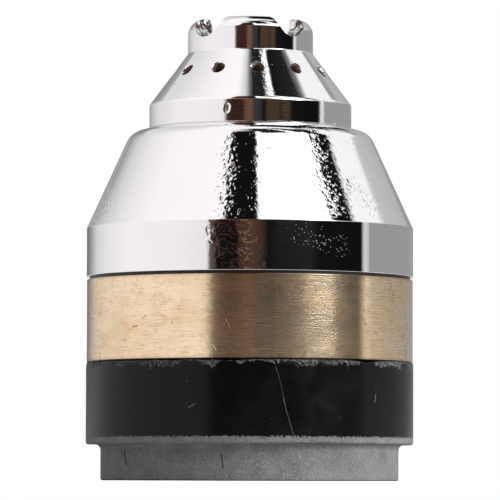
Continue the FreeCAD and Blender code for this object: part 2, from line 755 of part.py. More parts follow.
def make_seals():
    """One O-ring at the middle of each groove."""
    groove_middle = s.seal_land + s.seal_groove / 2
    flange_middle = NOZZLE_REAR + s.nozzle_flange_length / 2
    swirl_groove = NOZZLE_REAR + groove_middle
    pilot_groove = SWIRL_REAR + ELECTRODE_COLLAR_LENGTH / 2
    socket_groove = s.sleeve_recess + SOCKET_DEPTH - s.seal_land - s.main_seal_groove / 2
    return [
        make_seal("shield_o_ring", PILOT_BORE - s.seal_depth, PILOT_BORE, SHANK_END + groove_middle),
        make_seal("shell_o_ring", SHELL_BORE - s.seal_depth, SHELL_BORE, SHELL_BOTTOM + groove_middle),
        make_seal("spigot_o_ring", BUSH_BORE - s.seal_depth, BUSH_BORE, BAND_TOP + groove_middle),
        make_seal("nozzle_o_ring", STACK_BORE - s.main_seal_depth, STACK_BORE, flange_middle),
        make_seal("swirl_o_ring", SWIRL_SEAT_BORE - s.seal_depth, SWIRL_SEAT_BORE, swirl_groove),
        make_seal("electrode_o_ring", PILOT_SEAT - s.seal_depth, PILOT_SEAT, pilot_groove),
        make_seal("body_o_ring", SOCKET_SEAL_RADIUS - s.main_seal_depth, SOCKET_SEAL_RADIUS, socket_groove),
    ]


def check_document():
    for item in doc.Objects:
        if "Invalid" in item.State or "Error" in item.State:
            raise RuntimeError(f"{item.Label}: {item.State}")


def check_piece(piece):
    if piece.Shape.isNull() or not piece.Shape.isValid() or len(piece.Shape.Solids) != 1:
        raise RuntimeError(f"{piece.Label} is not one valid solid")


pieces = [
    make_insulator_sleeve(),
    make_brass_body(),
    make_insulating_bush(),
    make_cap_shell(),
    make_crown_shield(),
    make_nozzle(),
    make_swirl_ring(),
    make_electrode(),
    make_electrode_insert(),
    make_gas_distributor(),
]
pieces += make_seals()
doc.recompute()
check_document()
os.makedirs("parts", exist_ok=True)
for piece in pieces:
    check_piece(piece)
    piece.Shape.exportStep(f"parts/{piece.Label}.step")
    box = piece.Shape.BoundBox
    print(f"{piece.Label}: z {box.ZMin:.2f} to {box.ZMax:.2f}, width {box.XLength:.2f}, "
          f"volume {piece.Shape.Volume:.0f} mm3")
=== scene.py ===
import math

import bpy
from mathutils import Matrix, Vector, noise


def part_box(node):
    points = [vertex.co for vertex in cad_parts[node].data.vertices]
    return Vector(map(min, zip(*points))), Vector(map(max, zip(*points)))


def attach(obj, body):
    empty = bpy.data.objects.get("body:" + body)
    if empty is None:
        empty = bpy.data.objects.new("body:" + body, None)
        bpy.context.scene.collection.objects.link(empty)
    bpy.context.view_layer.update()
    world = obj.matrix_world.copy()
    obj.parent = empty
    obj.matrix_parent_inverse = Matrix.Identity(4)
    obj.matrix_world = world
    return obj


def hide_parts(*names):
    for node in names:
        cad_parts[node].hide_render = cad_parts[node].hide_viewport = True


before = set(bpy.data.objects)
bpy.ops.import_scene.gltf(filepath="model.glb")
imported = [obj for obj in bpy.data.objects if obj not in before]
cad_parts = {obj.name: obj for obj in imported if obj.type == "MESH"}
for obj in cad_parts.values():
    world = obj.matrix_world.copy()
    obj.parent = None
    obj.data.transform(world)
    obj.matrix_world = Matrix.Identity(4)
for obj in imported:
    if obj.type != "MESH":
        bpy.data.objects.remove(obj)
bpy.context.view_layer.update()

MM = 0.001


# Sizes in millimetres: first those that the solids' boxes give, then those of the forms in them

def box_mm(node):
    low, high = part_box(node)
    return [value / MM for value in low], [value / MM for value in high]


SLEEVE = box_mm("insulator_sleeve")
BRASS = box_mm("brass_body")
SHELL = box_mm("cap_shell")
SHIELD = box_mm("crown_shield")
COLLAR_RADIUS = SLEEVE[1][0]
COLLAR_TOP = SLEEVE[1][2]
BAND_RADIUS = BRASS[1][0]
BAND_TOP = box_mm("insulating_bush")[0][2]
NECK_TOP = BRASS[1][2]
SHELL_RADIUS = SHELL[1][0]
SHELL_BOTTOM, SHELL_TOP = SHELL[0][2], SHELL[1][2]
SHANK_END, NOSE_TOP = SHIELD[0][2], SHIELD[1][2]

FOOT_RADIUS = 23.15
FOOT_HEIGHT = 5.6
SLEEVE_RADIUS = 21.0
SLEEVE_GAP = 0.05
SHELL_CYLINDER = 7.65
SHELL_CORNER = SHELL_BOTTOM + SHELL_CYLINDER
SHELL_ANGLE = math.radians(24.5)
SHELL_WALL = 2.8
SHELL_BORE = 22.3
SHIELD_RADIUS = 15.75
NOSE_RADIUS = 9.75
RECESS_RADIUS = 6.4
RECESS_DEPTH = 4.4
ORIFICE_RADIUS = 2.4
SHIELD_ANGLE = math.radians(36.7)
SHIELD_SLOPE = math.tan(SHIELD_ANGLE)
SHIELD_WALL = 2.6
SHIELD_FLOOR = 2.0
SHANK_BORE = 10.6
SHANK_RADIUS = 13.0
SHANK_LENGTH = 5.8
PILOT_RADIUS = 12.6
PILOT_LENGTH = 2.6
THREAD_GAP = 0.1
SEAL_LAND = 0.6
SEAL_GROOVE = 1.6
SHIELD_CYLINDER = 3.73
CONE_BOTTOM = SHELL_TOP + SHIELD_CYLINDER
CONE_TOP = CONE_BOTTOM + (SHIELD_RADIUS - NOSE_RADIUS) / SHIELD_SLOPE
NOSE_ROUND = 2.2
GROOVE_RADIUS = 3.0
GROOVE_ANGLES = tuple(-47.0 + 90.0 * step for step in range(4))
VENT_ANGLES = tuple(-84.5 + 30.0 * step for step in range(12))
VENT_RISE = 5.07
SHARP_EDGE = math.radians(35)


# Meshes

def rounded(corners, step=11.0):
    """Replace each corner (radius, height, rounding) of a closed outline by an arc."""
    points = []
    count = len(corners)
    for index, (x, z, radius) in enumerate(corners):
        here = Vector((x, z))
        if radius <= 0:
            points.append((x, z))
            continue
        to_last = (Vector(corners[index - 1][:2]) - here).normalized()
        to_next = (Vector(corners[(index + 1) % count][:2]) - here).normalized()
        opening = to_last.angle(to_next)
        reach = radius / math.tan(opening / 2)
        centre = here + (to_last + to_next).normalized() * (radius / math.sin(opening / 2))
        start = here + to_last * reach - centre
        sweep = math.pi - opening
        turn = 1 if to_last.cross(to_next) < 0 else -1
        steps = max(2, math.ceil(math.degrees(sweep) / step))
        for part in range(steps + 1):
            arm = Matrix.Rotation(turn * sweep * part / steps, 2) @ start
            points.append((centre.x + arm.x, centre.y + arm.y))
    return points


def supported(points, near=0.05, longest=None):
    """Add points just inside the ends of the long edges, and along them where asked."""
    result = []
    count = len(points)
    for index, point in enumerate(points):
        a = Vector(point)
        b = Vector(points[(index + 1) % count])
        length = (b - a).length
        result.append(point)
        if length < 6 * near:
            continue
        inner = [near / length]
        if longest and length > longest:
            pieces = math.ceil(length / longest)
            inner += [part / pieces for part in range(1, pieces)]
        inner.append(1 - near / length)
        result += [tuple(a.lerp(b, part)) for part in inner]
    return result


def lathe(name, points, segments, shape=None):
    """Turn a closed outline about Z. shape(radius, height, angle) may move each point."""
    vertices = []
    for radius, height in points:
        for index in range(segments):
            angle = 2 * math.pi * index / segments
            r, z = shape(radius, height, angle) if shape else (radius, height)
            vertices.append((r * math.cos(angle) * MM, r * math.sin(angle) * MM, z * MM))
    rows = len(points)
    faces = []
    for row in range(rows):
        above = (row + 1) % rows
        for index in range(segments):
            following = (index + 1) % segments
            faces.append((row * segments + index, row * segments + following,
                          above * segments + following, above * segments + index))
    return add_mesh(name, vertices, faces)


def add_mesh(name, vertices, faces):
    mesh = bpy.data.meshes.new(name)
    mesh.from_pydata(vertices, [], faces)
    mesh.validate()
    mesh.shade_smooth()
    mesh.set_sharp_from_angle(angle=SHARP_EDGE)
    obj = bpy.data.objects.new(name, mesh)
    bpy.context.scene.collection.objects.link(obj)
    return obj


def rod(name, radius, length, segments, rows=2, roughen=0.0):
    """Closed cylinder along +Z from the origin, in millimetres, its wall roughened if asked."""
    vertices = []
    for row in range(rows):
        height = length * row / (rows - 1)
        for index in range(segments):
            angle = 2 * math.pi * index / segments
            place = Vector((math.cos(angle) * radius, math.sin(angle) * radius, height))
            lift = 0.0
            if roughen:
                lift = roughen * (noise.noise(place * 0.9) + 0.7 * noise.noise(place * 2.3))
            wall = (radius + lift) * MM
            vertices.append((wall * math.cos(angle), wall * math.sin(angle), height * MM))
    faces = []
    for row in range(rows - 1):
        for index in range(segments):
            following = (index + 1) % segments
            faces.append((row * segments + index, row * segments + following,
                          (row + 1) * segments + following, (row + 1) * segments + index))
    faces.append(tuple(reversed(range(segments))))
    faces.append(tuple((rows - 1) * segments + index for index in range(segments)))
    return add_mesh(name, vertices, faces)


def subtract(obj, cutters):
    """Cut away all the cutters at once and remove them."""
    group = bpy.data.collections.new("cutters")
    for cutter in cutters:
        group.objects.link(cutter)
    cut = obj.modifiers.new("cut", "BOOLEAN")
    cut.operation = "DIFFERENCE"
    cut.operand_type = "COLLECTION"
    cut.collection = group
    cut.solver = "EXACT"
    cut.material_mode = "TRANSFER"
    bpy.context.view_layer.update()
    shown = obj.evaluated_get(bpy.context.evaluated_depsgraph_get())
    mesh = bpy.data.meshes.new_from_object(shown)
    obj.modifiers.clear()
    old = obj.data
    obj.data = mesh
    bpy.data.meshes.remove(old)
    for cutter in cutters:
        bpy.data.objects.remove(cutter)
    bpy.data.collections.remove(group)
    mesh.shade_smooth()
    mesh.set_sharp_from_angle(angle=SHARP_EDGE)


# Materials

class Graph:
    """Short forms for building a node tree."""

    def __init__(self, tree):
        self.tree = tree
        tree.nodes.clear()

    def put(self, kind, **settings):
        node = self.tree.nodes.new(kind)
        for name, value in settings.items():
            setattr(node, name, value)
        return node

    def feed(self, socket, value):
        if isinstance(value, bpy.types.NodeSocket):
            self.tree.links.new(value, socket)
        elif value is not None:
            socket.default_value = value

    def math(self, operation, a, b=None, c=None, clamp=False):
        node = self.put("ShaderNodeMath", operation=operation, use_clamp=clamp)
        for socket, value in zip(node.inputs, (a, b, c)):
            self.feed(socket, value)
        return node.outputs[0]

    def vector(self, operation, a, b):
        node = self.put("ShaderNodeVectorMath", operation=operation)
        self.feed(node.inputs[0], a)
        self.feed(node.inputs[1], b)
        return node.outputs[0]

    def split(self, vector):
        node = self.put("ShaderNodeSeparateXYZ")
        self.feed(node.inputs[0], vector)
        return node.outputs

    def join(self, x, y, z):
        node = self.put("ShaderNodeCombineXYZ")
        for socket, value in zip(node.inputs, (x, y, z)):
            self.feed(socket, value)
        return node.outputs[0]

    def ramp_range(self, value, low, high, to_low=0.0, to_high=1.0):
        """A smooth step from to_low to to_high as value goes from low to high."""
        node = self.put("ShaderNodeMapRange", interpolation_type="SMOOTHSTEP")
        for socket, number in zip(node.inputs, (value, low, high, to_low, to_high)):
            self.feed(socket, number)
        return node.outputs[0]

    def band(self, value, low, high, soft):
        """1 between low and high, 0 outside."""
        rise = self.ramp_range(value, low - soft, low + soft)
        fall = self.ramp_range(value, high - soft, high + soft, 1.0, 0.0)
        return self.math("MULTIPLY", rise, fall)

    def noise(self, vector, scale, detail=2.0, roughness=0.5):
        node = self.put("ShaderNodeTexNoise")
        self.feed(node.inputs["Vector"], vector)
        self.feed(node.inputs["Scale"], scale)
        self.feed(node.inputs["Detail"], detail)
        self.feed(node.inputs["Roughness"], roughness)
        return node.outputs["Fac"]

    def cells(self, vector, scale):
        """Distance to the nearest of a scatter of points."""
        node = self.put("ShaderNodeTexVoronoi", feature="F1")
        self.feed(node.inputs["Vector"], vector)
        self.feed(node.inputs["Scale"], scale)
        return node.outputs["Distance"]

    def mix(self, amount, a, b):
        node = self.put("ShaderNodeMix", data_type="RGBA")
        self.feed(node.inputs["Factor"], amount)
        self.feed(node.inputs["A"], self.colour(a))
        self.feed(node.inputs["B"], self.colour(b))
        return node.outputs["Result"]

    def colour(self, value):
        if isinstance(value, tuple) and len(value) == 3:
            return (*value, 1.0)
        return value

    def ramp(self, value, stops):
        node = self.put("ShaderNodeValToRGB")
        self.feed(node.inputs[0], value)
        elements = node.color_ramp.elements
        elements[0].position, elements[0].color = stops[0][0], self.colour(stops[0][1])
        elements[1].position, elements[1].color = stops[-1][0], self.colour(stops[-1][1])
        for position, colour in stops[1:-1]:
            elements.new(position).color = self.colour(colour)
        return node.outputs[0]

    def bump(self, height, distance, normal=None):
        node = self.put("ShaderNodeBump")
        self.feed(node.inputs["Height"], height)
        self.feed(node.inputs["Distance"], distance)
        self.feed(node.inputs["Normal"], normal)
        return node.outputs[0]

    def bevel(self, radius):
        node = self.put("ShaderNodeBevel", samples=4)
        node.inputs["Radius"].default_value = radius
        return node.outputs[0]

    def mark(self, arc, height, start, end, width, waver):
        """1 along a stroke between two (arc, height) points, 0 elsewhere. waver bends it."""
        run, rise = end[0] - start[0], end[1] - start[1]
        square = run * run + rise * rise
        x = self.math("SUBTRACT", arc, start[0])
        z = self.math("SUBTRACT", height, start[1])
        x = self.math("MULTIPLY_ADD", self.math("SUBTRACT", waver, 0.5), 0.5, x)
        risen = self.math("MULTIPLY", z, rise / square)
        along = self.math("MULTIPLY_ADD", x, run / square, risen, clamp=True)
        off_x = self.math("MULTIPLY_ADD", along, -run, x)
        off_z = self.math("MULTIPLY_ADD", along, -rise, z)
        off = self.math("MULTIPLY_ADD", off_x, off_x, self.math("MULTIPLY", off_z, off_z))
        return self.ramp_range(self.math("SQRT", off), width * 0.4, width, 1.0, 0.0)

    def largest(self, *values):
        total = values[0]
        for value in values[1:]:
            total = self.math("MAXIMUM", total, value)
        return total

    def place(self):
        """Position in millimetres in the part's frame."""
        metres = self.put("ShaderNodeTexCoord").outputs["Object"]
        return self.vector("MULTIPLY", metres, (1 / MM, 1 / MM, 1 / MM))

    def shader(self, **values):
        node = self.put("ShaderNodeBsdfPrincipled")
        for name, value in values.items():
            self.feed(node.inputs[name.replace("_", " ")], self.colour(value))
        out = self.put("ShaderNodeOutputMaterial")
        self.tree.links.new(node.outputs[0], out.inputs["Surface"])


def material(name):
    made = bpy.data.materials.new(name)
    made.use_nodes = True
    return made, Graph(made.node_tree)


def around(g, place, radius):
    """Length round the axis from the front, and height, both in millimetres."""
    x, y, z = g.split(place)
    turn = g.math("ARCTAN2", x, g.math("MULTIPLY", y, -1.0))
    return g.math("MULTIPLY", turn, radius), z


def streaks(g, along, across, stretch, scale, detail=3.0):
    """Noise drawn out along one direction."""
    vector = g.join(g.math("MULTIPLY", along, stretch), across, 0.0)
    return g.noise(vector, scale, detail, 0.6)


def chrome_shell():
    made, g = material("chrome_pitted")
    place = g.place()
    arc, height = around(g, place, SHELL_RADIUS)
    waver = g.noise(place, 0.45, 2.0)
    # Where the plating is pitted, as strokes between (arc, height) points
    rough = g.largest(
        g.math("MULTIPLY", g.mark(arc, height, (-4.8, 50.0), (-4.0, 43.0), 3.0, waver), 0.6),
        g.math("MULTIPLY", g.mark(arc, height, (13.6, 52.5), (13.9, 41.5), 2.4, waver), 0.7),
        g.mark(arc, height, (19.5, 45.0), (21.0, 42.0), 2.4, waver),
        g.mark(arc, height, (-26.0, 41.0), (-62.0, 47.0), 4.0, waver),
        g.mark(arc, height, (44.0, 48.0), (60.0, 42.0), 3.5, waver),
    )
    patches = g.ramp_range(g.noise(place, 0.34, 2.0, 0.6), 0.4, 0.6, 0.1, 1.0)
    cone = g.ramp_range(height, SHELL_CORNER - 0.2, SHELL_CORNER + 0.6)
    zone = g.math("MULTIPLY", rough, g.math("MULTIPLY_ADD", patches, 0.5, 0.5))
    zone = g.math("MULTIPLY_ADD", zone, 0.9, 0.1)
    flat = g.mark(arc, height, (-4.5, 39.0), (-0.5, 33.0), 5.0, waver)
    zone = g.math("MULTIPLY", zone, g.math("MULTIPLY_ADD", cone, 0.96, 0.04))
    zone = g.math("MAXIMUM", zone, g.math("MULTIPLY", flat, 0.24))
    broken = g.ramp_range(g.noise(place, 0.9, 1.0), 0.4, 0.6)
    zone = g.math("MULTIPLY", zone, g.math("MULTIPLY_ADD", broken, 0.6, 0.4))
    peel = g.math("SUBTRACT", g.noise(place, 1.45, 1.2, 0.5), 0.5)
    lumps = g.ramp_range(g.noise(place, 2.0, 1.0, 0.5), 0.6, 0.72)
    lumps = g.math("MULTIPLY", lumps, g.math("MULTIPLY", cone, 0.34))
    relief = g.math("MULTIPLY", g.math("ADD", lumps, peel), zone)
    grit = g.ramp_range(g.cells(place, 2.6), 0.1, 0.21, 1.0, 0.0)
    worn = g.mark(arc, height, (7.5, 37.4), (14.5, 35.6), 2.8, waver)
    grit = g.math("MULTIPLY", grit, worn)
    turning = streaks(g, arc, height, 0.06, 3.5, 3.0)
    relief = g.math("MULTIPLY_ADD", turning, 0.014, relief)
    swell = g.noise(place, 0.12, 1.0)
    # Painted shade: the shell's lowest 0.09 mm turns near black in colour, for the dark gap line above the
    # brass band.
    edge = g.ramp_range(height, SHELL_BOTTOM + 0.09, SHELL_BOTTOM + 0.05)
    metal = g.mix(swell, (0.85, 0.85, 0.86), (0.82, 0.82, 0.83))
    gloss = g.ramp_range(zone, 0.0, 1.0, 0.035, 0.06)
    g.shader(
        Base_Color=g.mix(g.math("MULTIPLY", edge, 0.97), metal, (0.02, 0.012, 0.01)),
        Metallic=1.0,
        Roughness=g.math("MAXIMUM", gloss, g.math("MULTIPLY", grit, 0.45)),
        Normal=g.bump(relief, 0.17 * MM, g.bevel(0.06 * MM)),
    )
    return made


def chrome_shield():
    made, g = material("chrome_turned")
    place = g.place()
    arc, height = around(g, place, SHIELD_RADIUS)
    turning = streaks(g, arc, height, 0.22, 4.5, 4.0)
    cylinders = g.math("MAXIMUM", g.ramp_range(height, CONE_BOTTOM, CONE_BOTTOM - 0.3),
                       g.ramp_range(height, CONE_TOP, CONE_TOP + 0.4))
    turning = g.math("MULTIPLY", turning, g.math("MULTIPLY_ADD", cylinders, 2.4, 0.4))
    swell = g.noise(place, 0.35, 2.0)
    specks = g.ramp_range(g.cells(place, 0.75), 0.02, 0.12)
    chip = g.mark(arc, height, (-3.6, 56.5), (-3.5, 57.1), 0.55, swell)
    nick = g.mark(arc, height, (15.2, 55.1), (15.2, 55.3), 0.22, swell)
    relief = g.math("MULTIPLY_ADD", specks, 1.5, g.math("MULTIPLY", swell, 2.0))
    relief = g.math("MULTIPLY_ADD", turning, 0.9, relief)
    relief = g.math("MULTIPLY_ADD", g.largest(chip, nick), -22.0, relief)
    dents = g.math("SUBTRACT", g.noise(place, 2.2, 2.0, 0.6), 0.5)
    dented = g.mark(arc, height, (2.8, CONE_BOTTOM), (2.4, CONE_TOP), 1.2, swell)
    relief = g.math("MULTIPLY_ADD", g.math("MULTIPLY", dents, dented), 5.0, relief)
    g.shader(
        Base_Color=g.mix(swell, (0.85, 0.85, 0.86), (0.82, 0.82, 0.83)),
        Metallic=1.0,
        Roughness=g.ramp_range(swell, 0.3, 0.75, 0.03, 0.06),
        Normal=g.bump(relief, 0.003 * MM, g.bevel(0.04 * MM)),
    )
    return made


def chrome_groove():
    made, g = material("chrome_groove")
    place = g.place()
    lumps = g.noise(place, 1.3, 3.0, 0.6)
    soot = g.noise(place, 0.9, 3.0, 0.6)
    g.shader(
        Base_Color=g.mix(g.ramp_range(soot, 0.42, 0.55), (0.82, 0.81, 0.81), (0.07, 0.045, 0.035)),
        Metallic=1.0,
        Roughness=g.ramp_range(soot, 0.3, 0.7, 0.06, 0.3),
        Normal=g.bump(lumps, 0.3 * MM),
    )
    return made


def vent_wall():
    made, g = material("vent_wall")
    place = g.place()
    stain = g.noise(place, 1.2, 3.0, 0.6)
    g.shader(
        Base_Color=g.mix(g.ramp_range(stain, 0.4, 0.62), (0.52, 0.41, 0.36), (0.13, 0.085, 0.065)),
        Metallic=0.5,
        Roughness=g.ramp_range(stain, 0.3, 0.7, 0.2, 0.45),
        Normal=g.bump(stain, 0.05 * MM),
    )
    return made


def brass():
    made, g = material("brass_turned")
    place = g.place()
    arc, height = around(g, place, BAND_RADIUS)
    turning = g.math("SUBTRACT", streaks(g, arc, height, 0.13, 3.4, 3.0), 0.5)
    lathed = g.math("SUBTRACT", streaks(g, arc, height, 0.025, 6.0, 3.0), 0.5)
    stain = streaks(g, arc, height, 0.45, 0.16, 4.0)
    grime = g.noise(place, 1.2, 4.0, 0.65)
    waver = g.noise(place, 0.7, 2.0)
    # Stains, then bright scratches, as strokes between (arc, height) points
    spots = g.largest(
        g.mark(arc, height, (-19.6, 23.3), (-18.6, 23.4), 0.17, grime),
        g.mark(arc, height, (-17.6, 24.5), (-16.9, 24.9), 0.12, grime),
        g.mark(arc, height, (-12.2, 23.6), (-12.2, 23.9), 0.14, grime),
        g.ramp_range(g.cells(place, 0.34), 0.02, 0.07, 1.0, 0.0),
    )
    shiny = g.largest(
        g.math("MULTIPLY", g.mark(arc, height, (4.1, 19.0), (4.15, 30.8), 0.06, 0.5), 0.7),
        g.math("MULTIPLY", g.mark(arc, height, (3.9, 28.9), (4.7, 30.1), 0.045, waver), 0.6),
        g.mark(arc, height, (-3.6, 24.3), (-3.1, 23.0), 0.08, waver),
        g.mark(arc, height, (-5.6, 20.4), (-5.2, 19.6), 0.08, waver),
        g.math("MULTIPLY", g.mark(arc, height, (4.9, 29.9), (6.1, 30.3), 0.045, waver), 0.6),
    )
    slant = g.math("MULTIPLY_ADD", arc, 0.5, height)
    counter = g.math("MULTIPLY_ADD", height, -0.5, arc)
    hairs = g.ramp_range(streaks(g, slant, counter, 0.3, 5.0, 1.0), 0.7, 0.76)
    coarse = g.ramp_range(g.noise(place, 0.5, 3.0, 0.6), 0.42, 0.6, 0.35, 1.0)
    # Painted shade: the band darkens over its lowest 0.7 mm and its top 0.5 mm, for the shade at the gaps
    # to the insulator and the bush.
    gap_shade_low = g.ramp_range(height, COLLAR_TOP + 0.7, COLLAR_TOP + 0.15)
    gap_shade_high = g.ramp_range(height, BAND_TOP - 0.5, BAND_TOP - 0.1)
    base = g.mix(g.ramp_range(stain, 0.38, 0.66), (0.9, 0.738, 0.525), (0.82, 0.63, 0.405))
    tarnish = g.noise(place, 0.4, 5.0, 0.7)
    base = g.mix(g.math("MULTIPLY", g.ramp_range(tarnish, 0.5, 0.72), 0.6), base, (0.64, 0.40, 0.21))
    dust = g.ramp_range(g.noise(place, 5.0, 2.0, 0.7), 0.55, 0.75)
    base = g.mix(g.math("MULTIPLY", dust, 0.35), base, (0.5, 0.33, 0.2))
    base = g.mix(g.math("MULTIPLY", g.ramp_range(grime, 0.6, 0.8), 0.3), base, (0.45, 0.31, 0.18))
    lines = g.largest(g.ramp_range(turning, -0.02, -0.14), g.ramp_range(lathed, -0.04, -0.16), hairs)
    base = g.mix(g.math("MULTIPLY", lines, g.math("MULTIPLY", coarse, 0.45)), base, (0.46, 0.30, 0.17))
    base = g.mix(g.math("MULTIPLY", spots, 0.65), base, (0.20, 0.09, 0.06))
    base = g.mix(g.math("MULTIPLY", g.math("MAXIMUM", gap_shade_low, gap_shade_high), 0.3), base, (0.30, 0.17, 0.09))
    # Painted shade: near black in the band's lowest 0.2 mm and its top 0.09 mm, the dark lines of the gaps
    # to the insulator and the bush.
    seam = g.ramp_range(height, COLLAR_TOP + 0.2, COLLAR_TOP + 0.12)
    seam = g.math("MAXIMUM", seam, g.ramp_range(height, BAND_TOP - 0.09, BAND_TOP - 0.05))
    base = g.mix(seam, base, (0.02, 0.01, 0.007))
    scratches = g.math("MAXIMUM", hairs, shiny)
    relief = g.math("MULTIPLY_ADD", scratches, -0.12, g.math("MULTIPLY", turning, coarse))
    relief = g.math("MULTIPLY_ADD", lathed, 0.6, relief)
    gloss = g.ramp_range(stain, 0.3, 0.75, 0.16, 0.2)
    g.shader(
        Base_Color=g.mix(g.math("MULTIPLY", shiny, 0.6), base, (0.95, 0.75, 0.42)),
        Metallic=1.0,
        Roughness=g.math("MAXIMUM", gloss, g.math("MULTIPLY", shiny, 0.3)),
        Anisotropic=0.8,
        Anisotropic_Rotation=0.25,
        Tangent=g.put("ShaderNodeTangent", direction_type="RADIAL", axis="Z").outputs[0],
        Normal=g.bump(relief, 0.016 * MM, g.bevel(0.06 * MM)),
    )
    return made


def insulator():
    made, g = material("insulator_worn")
    place = g.place()
    arc, height = around(g, place, COLLAR_RADIUS)
    fine = g.noise(place, 1.5, 5.0, 0.7)
    broad = g.noise(place, 0.3, 3.0, 0.6)
    waver = g.noise(place, 0.6, 2.0)
    speck = g.noise(place, 4.0, 3.0, 0.7)
    jagged = g.noise(place, 2.4, 4.0, 0.7)
    reach = g.math("MULTIPLY_ADD", g.ramp_range(broad, 0.38, 0.6), 0.95, 0.22)
    reach = g.math("MULTIPLY", reach, g.math("MULTIPLY_ADD", jagged, 2.2, -0.15))
    below_top = g.math("SUBTRACT", COLLAR_TOP, height)
    top_wear = g.ramp_range(g.math("SUBTRACT", below_top, reach), -0.06, 0.06, 1.0, 0.0)
    low_reach = g.math("MULTIPLY_ADD", jagged, 1.3, 0.4)
    above_foot = g.math("SUBTRACT", height, FOOT_HEIGHT)
    low_wear = g.ramp_range(g.math("SUBTRACT", above_foot, low_reach), -0.12, 0.12, 1.0, 0.0)
    wear = g.math("MAXIMUM", top_wear, low_wear)
    fold = g.math("ABSOLUTE", g.math("SUBTRACT", g.noise(place, 1.5, 2.0, 0.6), 0.5))
    fibres = g.ramp_range(fold, 0.0, 0.06, 1.0, 0.0)
    # Scratches on the collar, then cracks in the foot, as strokes between (arc, height) points
    scuffs = g.largest(
        g.math("MULTIPLY", g.mark(arc, height, (4.0, 17.0), (5.2, 12.4), 0.04, waver), 0.5),
        g.mark(arc, height, (5.2, 12.4), (5.3, 11.2), 0.05, waver),
        g.math("MULTIPLY", g.mark(arc, height, (5.3, 11.2), (6.7, 6.7), 0.04, waver), 0.7),
        g.mark(arc, height, (-9.3, 11.0), (-8.4, 11.5), 0.07, waver),
        g.mark(arc, height, (21.4, 11.9), (21.7, 13.2), 0.06, waver),
        g.mark(arc, height, (-9.6, 14.9), (-9.6, 15.0), 0.08, waver),
    )
    cracks = g.largest(
        g.mark(arc, height, (-24.2, 2.8), (-24.6, 4.9), 0.13, fine),
        g.mark(arc, height, (-24.3, 3.0), (-23.4, 2.3), 0.09, jagged),
        g.mark(arc, height, (-25.6, 4.4), (-24.5, 3.9), 0.08, jagged),
        g.mark(arc, height, (-4.4, 1.9), (-4.6, 3.9), 0.14, fine),
    )
    mottle = g.math("MULTIPLY_ADD", speck, 0.6, g.math("MULTIPLY", broad, 0.4))
    worn = g.mix(g.ramp_range(mottle, 0.32, 0.68), (0.075, 0.075, 0.077), (0.15, 0.15, 0.153))
    worn = g.mix(g.ramp_range(speck, 0.66, 0.72), worn, (0.3, 0.3, 0.305))
    worn = g.mix(g.ramp_range(speck, 0.36, 0.3), worn, (0.04, 0.04, 0.041))
    worn = g.mix(cracks, worn, (0.01, 0.01, 0.011))
    # Darker in a thin ragged line along the foot's bottom edge.
    sole = g.ramp_range(g.math("MULTIPLY_ADD", jagged, -0.14, height), 0.08, 0.0)
    worn = g.mix(g.math("MULTIPLY", sole, 0.85), worn, (0.012, 0.012, 0.013))
    torn = g.mix(fibres, (0.022, 0.022, 0.023), (0.15, 0.15, 0.153))
    worn = g.mix(top_wear, worn, torn)
    dust = g.ramp_range(g.noise(place, 3.2, 3.0, 0.7), 0.64, 0.78)
    dust = g.math("MULTIPLY", dust, g.ramp_range(broad, 0.4, 0.65))
    black = g.mix(dust, (0.0022, 0.0022, 0.0023), (0.05, 0.05, 0.051))
    black = g.mix(scuffs, black, (0.11, 0.11, 0.112))
    relief = g.math("MULTIPLY", speck, 0.05)
    relief = g.math("MULTIPLY_ADD", wear, g.math("MULTIPLY_ADD", fine, 2.0, -1.5), relief)
    relief = g.math("MULTIPLY_ADD", g.math("MULTIPLY", low_wear, speck), 0.5, relief)
    relief = g.math("MULTIPLY_ADD", g.math("MULTIPLY", top_wear, fibres), 1.2, relief)
    relief = g.math("MULTIPLY_ADD", cracks, -1.5, relief)
    g.shader(
        Base_Color=g.mix(wear, black, worn),
        Roughness=g.math("MULTIPLY_ADD", wear, 0.5, g.ramp_range(broad, 0.3, 0.7, 0.16, 0.28)),
        Specular_IOR_Level=0.16,
        Normal=g.bump(relief, 0.1 * MM),
    )
    return made


def copper():
    made, g = material("copper_turned")
    place = g.place()
    usual_radius = 9.0
    arc, height = around(g, place, usual_radius)
    turning = streaks(g, arc, height, 0.05, 3.5, 4.0)
    tarnish = g.noise(place, 0.3, 4.0, 0.6)
    g.shader(
        Base_Color=g.mix(g.ramp_range(tarnish, 0.35, 0.7), (0.80, 0.42, 0.27), (0.45, 0.20, 0.12)),
        Metallic=1.0,
        Roughness=g.ramp_range(tarnish, 0.3, 0.7, 0.2, 0.4),
        Normal=g.bump(turning, 0.01 * MM),
    )
    return made


def bush_plastic():
    made, g = material("plastic_brown")
    place = g.place()
    grain = g.noise(place, 2.0, 4.0, 0.6)
    g.shader(
        Base_Color=g.mix(grain, (0.016, 0.006, 0.004), (0.006, 0.003, 0.0025)),
        Roughness=g.ramp_range(grain, 0.3, 0.7, 0.35, 0.55),
        Normal=g.bump(grain, 0.02 * MM),
    )
    return made


def rubber():
    made, g = material("rubber_black")
    place = g.place()
    grain = g.noise(place, 3.0, 3.0, 0.6)
    g.shader(
        Base_Color=g.mix(grain, (0.012, 0.012, 0.013), (0.03, 0.03, 0.03)),
        Roughness=g.ramp_range(grain, 0.3, 0.7, 0.5, 0.75),
        Normal=g.bump(grain, 0.01 * MM),
    )
    return made


def emitter_metal():
    made, g = material("emitter_grey")
    place = g.place()
    grain = g.noise(place, 3.0, 3.0, 0.6)
    g.shader(
        Base_Color=g.mix(grain, (0.45, 0.45, 0.47), (0.25, 0.24, 0.25)),
        Metallic=1.0,
        Roughness=g.ramp_range(grain, 0.3, 0.7, 0.3, 0.5),
        Normal=g.bump(grain, 0.02 * MM),
    )
    return made


